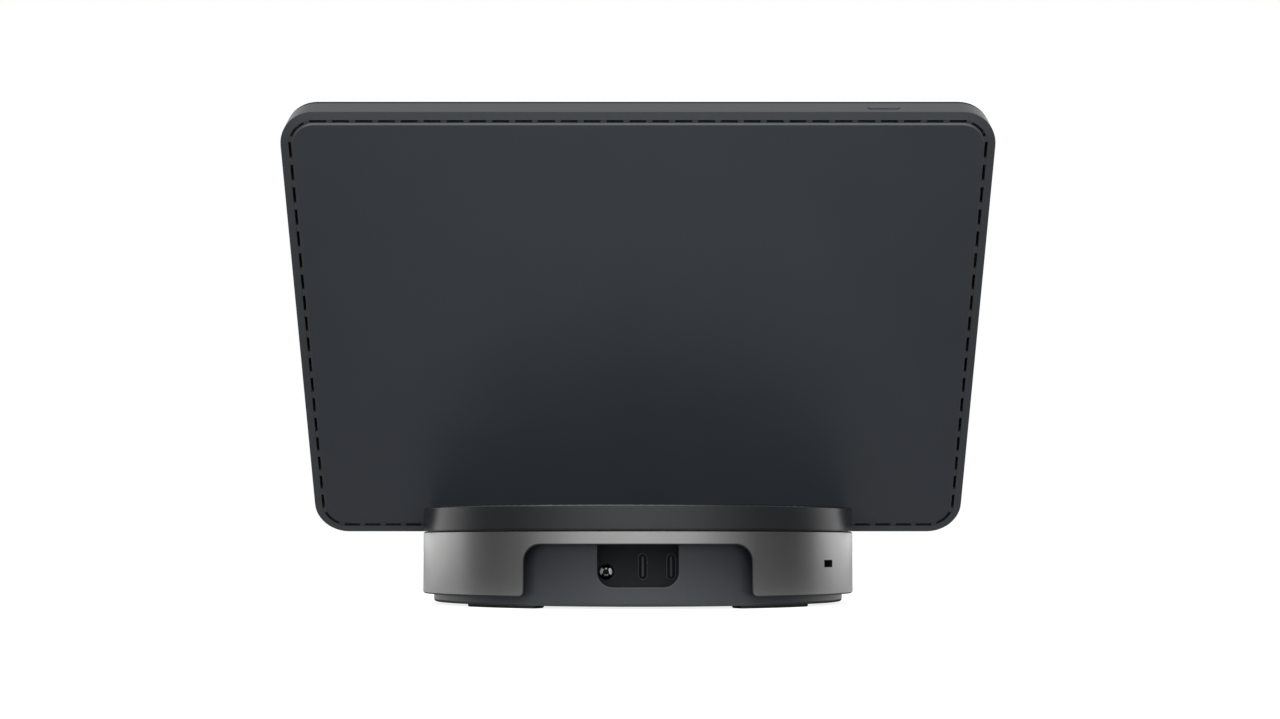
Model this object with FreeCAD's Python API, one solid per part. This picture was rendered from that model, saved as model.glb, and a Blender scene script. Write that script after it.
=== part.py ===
"""Smart home hub: a tilted touch display on a round base that it swivels on.

The frame has its origin on the swivel axis at the tabletop, with +Z up. The screen faces -Y and the
ports face +Y. Display pieces are drawn upright, with the display's back face in the plane Y = 0, its
bottom edge at Z = 0 and its screen towards -Y, and are then leaned back onto the base. Units: mm.
"""

import FreeCAD, Part
import math
import os

from FreeCAD import Placement, Rotation, Vector

# ---------------------------------------------------------------- driving sizes: display
display_width = 243.5
display_height = 166.2
display_thickness = 11.5
display_corner_radius = 12.0
display_lean = 32.3            # degrees back from upright
display_set_forward = 15.8     # back bottom edge, in front of the swivel axis
display_deck_gap = 0.1         # under the corner of the display's outline

shell_wall = 2.0
shell_front_lip = 1.8          # share of the thickness left to the front bezel
border_width = 2.75            # sloping border round the back
border_drop = 0.45
vent_width = 0.95
vent_length = 5.7
vent_corner_length = 6.8
vent_pitch = 7.8               # along the top and bottom, adjusted to go evenly
vent_side_pitch = 8.2          # up the two sides, likewise
vent_end_margin = 1.45         # last slot's middle, before the corner begins
vent_floor_drop = 0.3
cover_clearance = 0.05
cover_thickness = 1.8
cover_proud = 0.5
cover_bevel_width = 0.6
cover_bevel_height = 0.5
ledge_width = 6.0
ledge_thickness = 1.5

glass_thickness = 1.1
glass_rim = 0.85               # bezel showing round the glass
glass_clearance = 0.1
glass_edge_ease = 0.3
bezel_edge_ease = 0.35
tape_thickness = 0.2
tape_width = 3.6
bezel_lip_width = 5.0
active_width = 216.96
active_height = 135.6
panel_margin = 3.0
panel_thickness = 1.2
backlight_margin = 5.0
backlight_thickness = 1.8
mid_frame_thickness = 0.8
mid_frame_clearance = 0.3
board_boss_radius = 2.3         # round each board screw
microphone_hole_radius = 0.5
microphone_spacing = 60.0
microphone_drop = 7.3          # below the display's top edge

# ---------------------------------------------------------------- driving sizes: electronics
board_width = 128.0
board_height = 62.0
board_bottom = 74.0            # above the display's bottom edge
board_thickness = 1.2
board_standoff = 1.3
board_screw_inset = 5.0
shield_width = 44.0
shield_height = 34.0
spreader_overhang = 9.0
spreader_thickness = 0.6
spreader_gap = 0.2             # to the back cover
speaker_width = 44.0
speaker_height = 30.0
speaker_clearance = 0.1        # to the shell's ledge
speaker_cone_clearance = 0.2
speaker_inset = 9.0            # from the display's side and bottom edges
speaker_driver_radius = 9.5
antenna_width = 34.0
antenna_height = 9.0
antenna_thickness = 0.4
antenna_inset = 6.0
microphone_board_height = 4.0
microphone_board_thickness = 0.8
sensor_board_width = 12.0

button_centre = -83.5          # along X
button_length = 11.0
button_breadth = 2.8
button_proud = 0.3
button_edge_radius = 0.2
button_travel = 0.3
button_clearance = 0.1
button_set_in = 5.0            # its middle, in front of the display's back face
button_flange = 0.9
button_flange_side = 0.6
button_flange_thickness = 0.8
button_stem_radius = 1.0
button_stem_length = 1.2
switch_length = 4.2
switch_breadth = 3.4
switch_depth = 1.6
switch_gap = 0.05
switch_board_length = 18.0
switch_board_thickness = 0.8

# ---------------------------------------------------------------- driving sizes: base
base_radius = 79.0
ring_bottom = 3.9
deck_height = 26.1             # top of the metal ring
ring_wall = 3.85
ring_chamfer = 0.5
ring_flange_inner_radius = 69.0
ring_flange_thickness = 1.9
deck_thickness = 2.0
deck_drop = 0.2                # deck below the ring's top edge
fit_clearance = 0.15
cutout_half_width = 38.0
cutout_top = 21.3
cutout_top_radius = 5.5
cutout_bottom_radius = 2.0
cutout_chamfer = 0.4

core_floor_bottom = 0.9
core_floor_thickness = 2.5
core_wall = 2.5
core_edge_ease = 0.9
bay_half_width = 13.4
bay_bottom = 7.3
bay_corner_radius = 5.0
bay_depth = 10.0
bay_mouth_ease = 0.3
bay_wall = 2.0

foot_outer_radius = 73.6
foot_width = 6.0
foot_from_angle = 28.0         # degrees either side of the Y axis
foot_to_angle = 53.0
foot_recess = 0.6
foot_edge_ease = 0.35

port_height = 14.0             # middle of the sockets above the table
port_places = (-1.6, -11.1)    # along X
port_shell_length = 8.94
port_shell_breadth = 3.26
port_shell_wall = 0.3
port_shell_floor = 1.2
port_tongue_length = 6.6
port_tongue_breadth = 0.7
port_tongue_set_in = 0.6
port_reach = 6.3               # from the board to the mouth
port_proud = 0.2
port_window_clearance = 0.12
port_board_width = 34.0
port_board_thickness = 1.6
port_board_bottom = 6.0
port_board_top = 20.5

clamp_screw_x = 10.7
clamp_screw_height = 12.2
clamp_screw_head_radius = 2.4
clamp_screw_head_height = 1.7
clamp_screw_radius = 1.25
clamp_screw_length = 6.0
clamp_recess_radius = 2.8
clamp_recess_depth = 1.0
clamp_boss_radius = 3.6
clamp_insert_radius = 2.2
clamp_insert_length = 5.0
cross_slot_length = 2.6
cross_slot_breadth = 0.6
cross_slot_depth = 0.8

lock_angle = 56.8              # degrees from +Y towards -X
lock_height = 14.8
lock_slot_length = 6.0
lock_slot_breadth = 2.5
lock_plate_width = 14.0
lock_plate_height = 9.0
lock_plate_thickness = 1.6
lock_plate_backing = 0.5

# ---------------------------------------------------------------- driving sizes: swivel and neck
neck_gap = 0.65                # seam between the ring and the neck
neck_skirt_gap = 0.2           # running gap under the skirt that shades the seam
neck_skirt_set_in = 0.4
neck_height = 8.0
neck_wall = 2.0
neck_top_thickness = 1.7
neck_floor_thickness = 1.5
neck_display_clearance = 0.05
neck_rim_radius = 0.7

post_radius = 8.0
post_bore_radius = 5.5
post_running_clearance = 0.04
post_collar_radius = 11.0
post_flange_radius = 13.5
post_flange_thickness = 2.0
post_tail = 0.45
thrust_clearance = 0.05
bush_wall = 2.46
bush_flange_width = 2.0
bush_flange_sink = 1.0
bush_flange_thickness = 1.2
bush_fit = 0.02
bearing_plate_radius = 30.0
bearing_plate_thickness = 2.0
bearing_plate_drop = 4.3       # below the deck's underside
bearing_screw_circle = 23.0
bearing_boss_radius = 3.6
washer_width = 4.5
friction_washer_thickness = 0.7
wave_washer_thickness = 0.8
nut_thickness = 3.0
nut_across_flats = 25.0
washer_clearance = 0.1

bracket_half_width = 40.0
bracket_thickness = 2.0
bracket_reach = 16.0           # behind the swivel axis
bracket_top = 60.0             # up the display's back
bracket_inset = 0.5            # behind the back cover
bracket_ceiling_gap = 0.15
bracket_notch_half_width = 41.0
bracket_notch_top = 8.3
cable_slot_half_width = 3.0
cable_slot_top = 22.0
bracket_screw_x = 32.0
bracket_screw_heights = (22.0, 52.0)
bracket_boss_radius = 3.2
post_screw_circle = 10.0

cable_radius = 0.9
cable_bend_radius = 3.0
cable_split_height = 20.0
cable_split_gap = 0.3
cable_plug_size = 5.0

ballast_radius = 62.0
ballast_thickness = 8.0
ballast_gap = 0.1
ballast_hole_radius = 18.0
ballast_rear_edge = 8.0

case_screw_circle = 62.0
case_boss_radius = 3.6
case_screw_angles = (45.0, 135.0, 225.0, 315.0)

# screw family: shank radius, head radius, head height
small_screw = (1.0, 1.9, 1.0)
case_screw = (1.25, 2.3, 1.3)
screw_hole_clearance = 0.1
case_screw_grip = 8.0

loose_fit = 0.3                # round pieces that are dropped in
stack_gap = 0.1                # between pieces that lie one over the other
cut_overrun = 1.0              # how far a cutter reaches past a face

# ---------------------------------------------------------------- worked out from the driving sizes
core_radius = base_radius - ring_wall - fit_clearance
deck_top = deck_height - deck_drop
deck_bottom = deck_top - deck_thickness
core_top = deck_bottom - ring_flange_thickness - stack_gap
core_floor_top = core_floor_bottom + core_floor_thickness
neck_bottom = deck_height + neck_gap
neck_top = neck_bottom + neck_height
neck_ceiling = neck_top - neck_top_thickness
bay_back = core_radius - bay_depth
port_mouth = bay_back + port_proud
port_board_back = port_mouth - port_reach
port_board_front = port_board_back - port_board_thickness
bearing_plate_top = deck_bottom - bearing_plate_drop
bearing_plate_bottom = bearing_plate_top - bearing_plate_thickness
friction_washer_bottom = bearing_plate_bottom - friction_washer_thickness
wave_washer_top = friction_washer_bottom - thrust_clearance
wave_washer_bottom = wave_washer_top - wave_washer_thickness
nut_bottom = wave_washer_bottom - nut_thickness
bush_inner_radius = post_radius + post_running_clearance
bush_outer_radius = bush_inner_radius + bush_wall
bush_flange_radius = bush_outer_radius + bush_flange_width
bush_flange_bottom = deck_top - bush_flange_sink
bush_flange_top = bush_flange_bottom + bush_flange_thickness
collar_bottom = bush_flange_top + thrust_clearance
bracket_leg_top = neck_ceiling - bracket_ceiling_gap
bracket_leg_bottom = bracket_leg_top - bracket_thickness
flange_bottom = bracket_leg_bottom - post_flange_thickness

shell_front = shell_front_lip - display_thickness
glass_back = glass_thickness - display_thickness
tape_back = glass_back + tape_thickness
panel_back = tape_back + panel_thickness
backlight_back = panel_back + backlight_thickness
mid_frame_back = backlight_back + mid_frame_thickness
cover_back = cover_proud - cover_thickness
ledge_inner = cover_back - ledge_thickness
vent_inset = border_width + vent_width / 2
cover_inset = border_width + vent_width
bracket_face = cover_back - bracket_inset
bracket_inner = bracket_face - bracket_thickness
board_front = mid_frame_back + board_standoff
board_back = board_front + board_thickness
spreader_back = cover_back - spreader_gap
shield_back = spreader_back - spreader_thickness
speaker_back = ledge_inner - speaker_clearance

lean = math.radians(display_lean)
display_place = Placement(
    Vector(0, -display_set_forward, deck_height + display_deck_gap),
    Rotation(Vector(1, 0, 0), -display_lean),
)


# ---------------------------------------------------------------- shape helpers
def box(x0, x1, y0, y1, z0, z1):
    return Part.makeBox(x1 - x0, y1 - y0, z1 - z0, Vector(x0, y0, z0))


def disc(radius, z0, z1, x=0.0, y=0.0):
    return Part.makeCylinder(radius, z1 - z0, Vector(x, y, z0))


def tube(outer, inner, z0, z1):
    return disc(outer, z0, z1).cut(disc(inner, z0, z1))


def pin_y(radius, x, z, y0, y1):
    """A round bar along Y."""
    return Part.makeCylinder(radius, y1 - y0, Vector(x, y0, z), Vector(0, 1, 0))


def on_circle(radius, angle):
    """X and Y of a point on a circle round the swivel axis, angle in degrees from +X."""
    return radius * math.cos(math.radians(angle)), radius * math.sin(math.radians(angle))


def outline(inset, y):
    """The display's outline, shrunk by inset, as a closed wire in the plane Y = y."""
    half = display_width / 2 - inset
    low, high = inset, display_height - inset
    r = display_corner_radius - inset
    s = r * math.sqrt(0.5)
    corners = [
        (half - r, low + r, 1, -1),
        (half - r, high - r, 1, 1),
        (r - half, high - r, -1, 1),
        (r - half, low + r, -1, -1),
    ]
    starts, edges = [], []
    for n, (cx, cz, sx, sz) in enumerate(corners):
        side = Vector(cx + sx * r, y, cz)
        end = Vector(cx, y, cz + sz * r)
        first, last = (end, side) if n % 2 == 0 else (side, end)
        edges.append(Part.Arc(first, Vector(cx + sx * s, y, cz + sz * s), last).toShape())
        starts.append((first, last))
    for n in range(4):
        edges.insert(2 * n + 1, Part.makeLine(starts[n][1], starts[(n + 1) % 4][0]))
    return Part.Wire(edges)


def slab(inset, y0, y1):
    """The display's outline, shrunk by inset and filled from y0 to y1."""
    return Part.Face(outline(inset, y0)).extrude(Vector(0, y1 - y0, 0))


def frustum(inset0, y0, inset1, y1):
    """A slab whose edge slopes from one inset to another."""
    return Part.makeLoft([outline(inset0, y0), outline(inset1, y1)], True, True)


def leaned(shape):
    """An upright display piece, moved to where it stands on the base."""
    shape = shape.copy()
    shape.Placement = display_place.multiply(shape.Placement)
    return shape


def in_front_of_neck():
    """The space that the display takes from the neck."""
    reach = display_width
    block = box(-reach, reach, -reach, cover_proud + neck_display_clearance, -reach, reach)
    return leaned(block)


def tube_along(points, radius, bend):
    """A round cable along straight runs joined by tangent arcs."""
    points = [Vector(*p) for p in points]
    edges, here = [], points[0]
    for before, corner, after in zip(points, points[1:], points[2:]):
        a = (before - corner).normalize()
        b = (after - corner).normalize()
        half_turn = (math.pi - a.getAngle(b)) / 2
        back = bend * math.tan(half_turn)
        start, end = corner + a * back, corner + b * back
        middle_way = (a + b).normalize()
        middle = corner + middle_way * (bend / math.cos(half_turn) - bend)
        edges.append(Part.makeLine(here, start))
        edges.append(Part.Arc(start, middle, end).toShape())
        here = end
    edges.append(Part.makeLine(here, points[-1]))
    path = Part.Wire(edges)
    ring = Part.Wire(Part.makeCircle(radius, points[0], points[1] - points[0]))
    return path.makePipeShell([ring], True, False)


def screw(family, grip, head_at, direction):
    """A pan-head screw whose head seats at head_at and whose shank runs along direction."""
    shank_radius, head_radius, head_height = family
    at, way = Vector(*head_at), Vector(*direction)
    head = Part.makeCylinder(head_radius, head_height, at - way * head_height, way)
    shank = Part.makeCylinder(shank_radius, grip, at, way)
    recess = Part.makeCylinder(shank_radius * 0.6, head_height / 2, at - way * head_height, way)
    return head.fuse(shank).cut(recess)


def compound(shapes):
    return Part.makeCompound(shapes)


# ---------------------------------------------------------------- display pieces
def vent_row(reach, pitch):
    """Where the middles of a straight edge's slots lie, evenly spread between its two corners."""
    reach -= vent_end_margin
    gaps = round(2 * reach / pitch)
    return [2 * reach * n / gaps - reach for n in range(gaps + 1)]


def vent_cutters(y0, y1):
    """The vent slots: a row along each edge of the back and a curved slot in each corner."""
    half, rise = display_width / 2 - vent_inset, display_height / 2 - vent_inset
    r = display_corner_radius - vent_inset
    w, h = vent_width / 2, vent_length / 2
    turn = vent_corner_length / r / 2
    corner = corner_slot(half - r, rise - r, r, math.pi / 4 - turn, math.pi / 4 + turn, y0, y1)
    centre = Vector(0, 0, 0)
    pair = compound([corner, corner.mirror(centre, Vector(1, 0, 0))])
    cutters = [pair, pair.mirror(centre, Vector(0, 0, 1))]
    for side in (-1, 1):
        x0, z0 = side * half, side * rise
        across, upright = vent_row(half - r, vent_pitch), vent_row(rise - r, vent_side_pitch)
        cutters += [box(x - h, x + h, y0, y1, z0 - w, z0 + w) for x in across]
        cutters += [box(x0 - w, x0 + w, y0, y1, z - h, z + h) for z in upright]
    slots = compound(cutters)
    slots.translate(Vector(0, 0, display_height / 2))
    return slots


def corner_slot(x, z, r, turn0, turn1, y0, y1):
    """A curved slot about (x, z), between two turns in radians from +Z towards +X."""
    w = vent_width / 2
    wedge = Part.Wire(
        [
            bend(x, z, r + w, turn0, turn1, y0),
            spoke(x, z, r + w, r - w, turn1, y0),
            bend(x, z, r - w, turn1, turn0, y0),
            spoke(x, z, r - w, r + w, turn0, y0),
        ]
    )
    return Part.Face(wedge).extrude(Vector(0, y1 - y0, 0))


def around(x, z, r, turn, y):
    return Vector(x + r * math.sin(turn), y, z + r * math.cos(turn))


def bend(x, z, r, turn0, turn1, y):
    middle = (turn0 + turn1) / 2
    return Part.Arc(
        around(x, z, r, turn0, y), around(x, z, r, middle, y), around(x, z, r, turn1, y)
    ).toShape()


def spoke(x, z, r0, r1, turn, y):
    return Part.makeLine(around(x, z, r0, turn, y), around(x, z, r1, turn, y))


def bracket_notch(y0, y1, z0, z1):
    return box(-bracket_notch_half_width, bracket_notch_half_width, y0, y1, z0, z1)


def button_outline(length, breadth, z0, z1):
    """A stadium seen from above, filled from z0 to z1, at the button's place."""
    middle = -button_set_in
    r = breadth / 2
    body = box(
        button_centre - length / 2 + r, button_centre + length / 2 - r, middle - r, middle + r, z0, z1
    )
    for end in (-1, 1):
        body = body.fuse(disc(r, z0, z1, button_centre + end * (length / 2 - r), middle))
    return body.removeSplitter()


def rear_shell():
    body = slab(0, shell_front, -border_drop).fuse(frustum(0, -border_drop, border_width, 0))
    body = body.cut(slab(shell_wall, shell_front, ledge_inner))
    body = body.cut(slab(cover_inset, cover_back, 0))
    body = body.cut(slab(cover_inset + ledge_width, ledge_inner, cover_back))
    body = body.cut(slab(border_width, -vent_floor_drop, 0))
    body = body.cut(vent_cutters(ledge_inner, 0))
    body = body.cut(
        bracket_notch(ledge_inner, 0, shell_wall + loose_fit, cover_inset + ledge_width)
    )
    hole_length = button_length + 2 * button_clearance
    hole_breadth = button_breadth + 2 * button_clearance
    body = body.cut(
        button_outline(hole_length, hole_breadth, display_height - shell_wall, display_height)
    )
    return leaned(body)


def back_cover():
    inset = cover_inset + cover_clearance
    shoulder = cover_proud - cover_bevel_height
    body = slab(inset, cover_back, shoulder)
    body = body.fuse(frustum(inset, shoulder, inset + cover_bevel_width, cover_proud))
    body = body.removeSplitter()
    return leaned(body.cut(bracket_notch(cover_back, cover_proud, 0, bracket_notch_top)))


def front_bezel():
    eased = bezel_edge_ease - display_thickness
    body = slab(0, eased, shell_front)
    body = body.fuse(frustum(bezel_edge_ease, -display_thickness, 0, eased))
    body = body.cut(slab(glass_rim, -display_thickness, tape_back))
    body = body.cut(slab(bezel_lip_width, tape_back, shell_front))
    return leaned(body)


def microphone_height():
    """Height of the microphone row, between the picture and the bezel's lip."""
    return display_height - microphone_drop


def touch_glass():
    inset, eased = glass_rim + glass_clearance, glass_edge_ease - display_thickness
    body = slab(inset, eased, glass_back)
    body = body.fuse(frustum(inset + glass_edge_ease, -display_thickness, inset, eased))
    for side in (-1, 1):
        body = body.cut(
            pin_y(
                microphone_hole_radius,
                side * microphone_spacing / 2,
                microphone_height(),
                -display_thickness,
                glass_back,
            )
        )
    return leaned(body)


def glass_tape():
    inset = glass_rim + glass_clearance
    body = slab(inset, glass_back, tape_back)
    return leaned(body.cut(slab(inset + tape_width, glass_back, tape_back)))


def centred_sheet(width, height, y0, y1):
    middle = display_height / 2
    return box(-width / 2, width / 2, y0, y1, middle - height / 2, middle + height / 2)


def lcd_panel():
    width = active_width + 2 * panel_margin
    height = active_height + 2 * panel_margin
    return leaned(centred_sheet(width, height, tape_back, panel_back))


def backlight():
    width = active_width + 2 * backlight_margin
    height = active_height + 2 * backlight_margin
    return leaned(centred_sheet(width, height, panel_back, backlight_back))


def board_screw_places():
    """X and Z of the main board's screws."""
    x = board_width / 2 - board_screw_inset
    low = board_bottom + board_screw_inset
    high = board_bottom + board_height - board_screw_inset
    return [(-x, low), (x, low), (-x, high), (x, high)]


def bracket_screw_places():
    return [(sx * bracket_screw_x, z) for sx in (-1, 1) for z in bracket_screw_heights]


def mid_frame():
    body = slab(shell_wall + mid_frame_clearance, backlight_back, mid_frame_back)
    for x, z in board_screw_places():
        body = body.fuse(pin_y(board_boss_radius, x, z, mid_frame_back, board_front))
        body = body.cut(pin_y(small_screw[0], x, z, backlight_back, board_front))
    for x, z in bracket_screw_places():
        body = body.fuse(pin_y(bracket_boss_radius, x, z, mid_frame_back, bracket_inner))
        body = body.cut(pin_y(small_screw[0], x, z, backlight_back, bracket_inner))
    half = button_length / 2 + button_flange + mid_frame_clearance
    room = switch_top() - switch_depth - switch_board_thickness - mid_frame_clearance
    body = body.cut(
        box(button_centre - half, button_centre + half, backlight_back, mid_frame_back,
            room, display_height)
    )
    return leaned(body)


def main_board():
    half = board_width / 2
    body = box(-half, half, board_front, board_back, board_bottom, board_bottom + board_height)
    hole = small_screw[0] + screw_hole_clearance
    for x, z in board_screw_places():
        body = body.cut(pin_y(hole, x, z, board_front, board_back))
    return leaned(body)


def shield_middle():
    return board_bottom + board_height / 2


def processor_shield():
    half = shield_width / 2
    low, high = shield_middle() - shield_height / 2, shield_middle() + shield_height / 2
    return leaned(box(-half, half, board_back, shield_back, low, high))


def heat_spreader():
    half = shield_width / 2 + spreader_overhang
    reach = shield_height / 2 + spreader_overhang
    body = box(
        -half, half, shield_back, spreader_back,
        shield_middle() - reach, shield_middle() + reach,
    )
    return leaned(body)


def board_screws():
    return leaned(
        compound(
            [
                screw(small_screw, board_thickness + board_standoff, (x, board_back, z), (0, -1, 0))
                for x, z in board_screw_places()
            ]
        )
    )


def speaker(side):
    """An enclosed speaker with its driver facing the back cover."""
    outer = display_width / 2 - speaker_inset
    x0, x1 = sorted((side * outer, side * (outer - speaker_width)))
    depth = speaker_back - mid_frame_back
    body = box(x0, x1, mid_frame_back, speaker_back, speaker_inset, speaker_inset + speaker_height)
    mouth = pin_y(
        speaker_driver_radius,
        (x0 + x1) / 2,
        speaker_inset + speaker_height / 2,
        speaker_back - depth * 0.4,
        speaker_back,
    )
    cone = Part.makeCone(
        speaker_driver_radius - speaker_cone_clearance,
        speaker_driver_radius * 0.4,
        depth * 0.3,
        Vector((x0 + x1) / 2, speaker_back - depth * 0.1, speaker_inset + speaker_height / 2),
        Vector(0, -1, 0),
    )
    return leaned(compound([body.cut(mouth), cone]))


def antenna(side):
    outer = display_width / 2 - antenna_inset - display_corner_radius
    x0, x1 = sorted((side * outer, side * (outer - antenna_width)))
    top = display_height - antenna_inset - switch_stack()
    body = box(
        x0, x1, mid_frame_back, mid_frame_back + antenna_thickness, top - antenna_height, top
    )
    return leaned(body)


def microphone_board():
    """A strip board behind the top border, with two microphones on the holes and a light sensor."""
    half = microphone_spacing / 2 + sensor_board_width / 2
    z = microphone_height()
    board = box(
        -half, half, tape_back, tape_back + microphone_board_thickness,
        z - microphone_board_height / 2, z + microphone_board_height / 2,
    )
    for side in (-1, 1):
        board = board.cut(
            pin_y(
                microphone_hole_radius,
                side * microphone_spacing / 2,
                z,
                tape_back,
                tape_back + microphone_board_thickness,
            )
        )
    return leaned(board)


def switch_stack():
    """How far the button's switch and its board reach down from the display's top edge."""
    reach = shell_wall + button_flange_thickness + button_stem_length
    return reach + switch_gap + button_travel + switch_depth + switch_board_thickness


def top_button():
    top = display_height + button_proud
    under = display_height - shell_wall
    body = button_outline(button_length, button_breadth, under, top)
    rim = [e for e in body.Edges if e.BoundBox.ZMin > top - 1e-6]
    body = body.makeFillet(button_edge_radius, rim)
    flange = button_outline(
        button_length + 2 * button_flange,
        button_breadth + 2 * button_flange_side,
        under - button_flange_thickness,
        under - thrust_clearance,
    )
    link = button_outline(button_length, button_breadth, under - thrust_clearance, under)
    stem_top = under - button_flange_thickness
    stem = disc(
        button_stem_radius, stem_top - button_stem_length, stem_top,
        button_centre, -button_set_in,
    )
    return leaned(body.fuse(link).fuse(flange).fuse(stem).removeSplitter())


def switch_top():
    under = display_height - shell_wall - button_flange_thickness - button_stem_length
    return under - button_travel - switch_gap


def button_switch():
    y, z = -button_set_in, switch_top()
    body = box(
        button_centre - switch_length / 2, button_centre + switch_length / 2,
        y - switch_breadth / 2, y + switch_breadth / 2, z - switch_depth, z,
    )
    return leaned(body)


def button_board():
    z = switch_top() - switch_depth
    half = switch_board_length / 2
    body = box(
        button_centre - half, button_centre + half, mid_frame_back, ledge_inner,
        z - switch_board_thickness, z,
    )
    return leaned(body)


# ---------------------------------------------------------------- bracket, neck and swivel
def display_bracket():
    """One bent plate: a leg on the swivel post, and a leg up inside the display."""
    low = shell_wall + 0.35
    up_leg = leaned(
        box(-bracket_half_width, bracket_half_width, bracket_inner, bracket_face, low, bracket_top)
    )
    fold = display_place.multVec(Vector(0, bracket_inner, low))
    flat_leg = box(
        -bracket_half_width, bracket_half_width, fold.y, bracket_reach,
        bracket_leg_bottom, bracket_leg_top,
    )
    # the flat leg stops at the inner face of the upright leg
    beyond = leaned(box(-200, 200, -200, bracket_inner, -200, 200))
    body = up_leg.fuse(flat_leg.cut(beyond))
    slot = leaned(
        box(
            -cable_slot_half_width, cable_slot_half_width, bracket_inner, bracket_face,
            0, cable_slot_top,
        )
    )
    body = body.cut(slot)
    body = body.cut(
        box(
            -cable_slot_half_width, cable_slot_half_width, -60, 0,
            bracket_leg_bottom - 4, bracket_leg_top,
        )
    )
    body = body.cut(disc(post_bore_radius, bracket_leg_bottom, bracket_leg_top))
    shank, head, head_height = small_screw
    for x, y in post_screw_places():
        body = body.cut(disc(shank + screw_hole_clearance, bracket_leg_bottom, bracket_leg_top, x, y))
        body = body.cut(
            disc(head + screw_hole_clearance, bracket_leg_top - head_height, bracket_leg_top, x, y)
        )
    for x, z in bracket_screw_places():
        hole = pin_y(shank + screw_hole_clearance, x, z, bracket_inner, bracket_face)
        sink = pin_y(
            head + screw_hole_clearance, x, z, bracket_face - head_height, bracket_face
        )
        body = body.cut(leaned(hole.fuse(sink)))
    return body


def bracket_screws():
    head_height = small_screw[2]
    grip = bracket_thickness - head_height + bracket_screw_reach()
    return leaned(
        compound(
            [
                screw(small_screw, grip, (x, bracket_face - head_height, z), (0, -1, 0))
                for x, z in bracket_screw_places()
            ]
        )
    )


def bracket_screw_reach():
    """How far a bracket screw goes into its boss."""
    return bracket_inner - mid_frame_back


def post_screw_places():
    return [on_circle(post_screw_circle, angle) for angle in (90, 210, 330)]


def post_screws():
    head_height = small_screw[2]
    grip = bracket_thickness - head_height + post_flange_thickness
    return compound(
        [
            screw(small_screw, grip, (x, y, bracket_leg_top - head_height), (0, 0, -1))
            for x, y in post_screw_places()
        ]
    )


def neck_cover():
    body = disc(base_radius, neck_bottom, neck_top)
    top_edge = [e for e in body.Edges if abs(e.BoundBox.ZMin - neck_top) < 1e-6 and e.Closed]
    body = body.makeFillet(neck_rim_radius, top_edge)
    skirt_bottom = deck_height + neck_skirt_gap
    body = body.fuse(disc(base_radius - neck_skirt_set_in, skirt_bottom, neck_bottom))
    body = body.cut(disc(base_radius - neck_wall, skirt_bottom, neck_ceiling))
    return body.cut(in_front_of_neck())


def neck_floor():
    radius = base_radius - neck_wall - fit_clearance
    body = disc(radius, neck_bottom, neck_bottom + neck_floor_thickness)
    body = body.cut(disc(post_flange_radius + loose_fit, neck_bottom, neck_top))
    return body.cut(in_front_of_neck())


def swivel_post():
    body = disc(post_radius, nut_bottom - post_tail, collar_bottom)
    body = body.fuse(disc(post_collar_radius, collar_bottom, flange_bottom))
    body = body.fuse(disc(post_flange_radius, flange_bottom, bracket_leg_bottom))
    body = body.cut(disc(post_bore_radius, nut_bottom - post_tail, bracket_leg_bottom))
    for x, y in post_screw_places():
        body = body.cut(disc(small_screw[0], flange_bottom, bracket_leg_bottom, x, y))
    return body.removeSplitter()


def retaining_nut():
    corner = nut_across_flats / math.sqrt(3)
    points = [Vector(*on_circle(corner, 60 * n), nut_bottom) for n in range(7)]
    body = Part.Face(Part.makePolygon(points)).extrude(Vector(0, 0, nut_thickness))
    return body.cut(disc(post_radius, nut_bottom, wave_washer_bottom))


def wave_washer():
    inner = post_radius + washer_clearance
    return tube(inner + washer_width, inner, wave_washer_bottom, wave_washer_top)


def friction_washer():
    inner = post_radius + washer_clearance
    return tube(inner + washer_width, inner, friction_washer_bottom, bearing_plate_bottom)


def swivel_bush():
    body = disc(bush_outer_radius, bearing_plate_bottom, bush_flange_bottom)
    body = body.fuse(disc(bush_flange_radius, bush_flange_bottom, bush_flange_top))
    return body.cut(disc(bush_inner_radius, bearing_plate_bottom, bush_flange_top))


def bearing_screw_places():
    return [on_circle(bearing_screw_circle, angle) for angle in (90, 210, 330)]


def bearing_plate():
    body = disc(bearing_plate_radius, bearing_plate_bottom, bearing_plate_top)
    body = body.cut(disc(bush_outer_radius + bush_fit, bearing_plate_bottom, bearing_plate_top))
    hole = case_screw[0] + screw_hole_clearance
    for x, y in bearing_screw_places():
        body = body.cut(disc(hole, bearing_plate_bottom, bearing_plate_top, x, y))
    return body


def bearing_screw_grip():
    return bearing_plate_thickness + bearing_plate_drop


def bearing_screws():
    return compound(
        [
            screw(case_screw, bearing_screw_grip(), (x, y, bearing_plate_bottom), (0, 0, 1))
            for x, y in bearing_screw_places()
        ]
    )


# ---------------------------------------------------------------- base pieces
def case_screw_places():
    return [on_circle(case_screw_circle, angle) for angle in case_screw_angles]


def base_ring():
    body = disc(base_radius, ring_bottom, deck_height)
    rims = [e for e in body.Edges if e.Closed and e.BoundBox.ZLength < 1e-6]
    body = body.makeChamfer(ring_chamfer, rims)
    inner = base_radius - ring_wall
    body = body.cut(disc(inner, ring_bottom, deck_bottom - ring_flange_thickness))
    body = body.cut(disc(inner, deck_bottom, deck_height))
    body = body.cut(disc(ring_flange_inner_radius, ring_bottom, deck_height))
    body = body.cut(cutout_cutter())
    body = body.makeChamfer(cutout_chamfer, cutout_edges(body))
    return body.cut(lock_slot_cutter(lock_slot_length, lock_slot_breadth))


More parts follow.
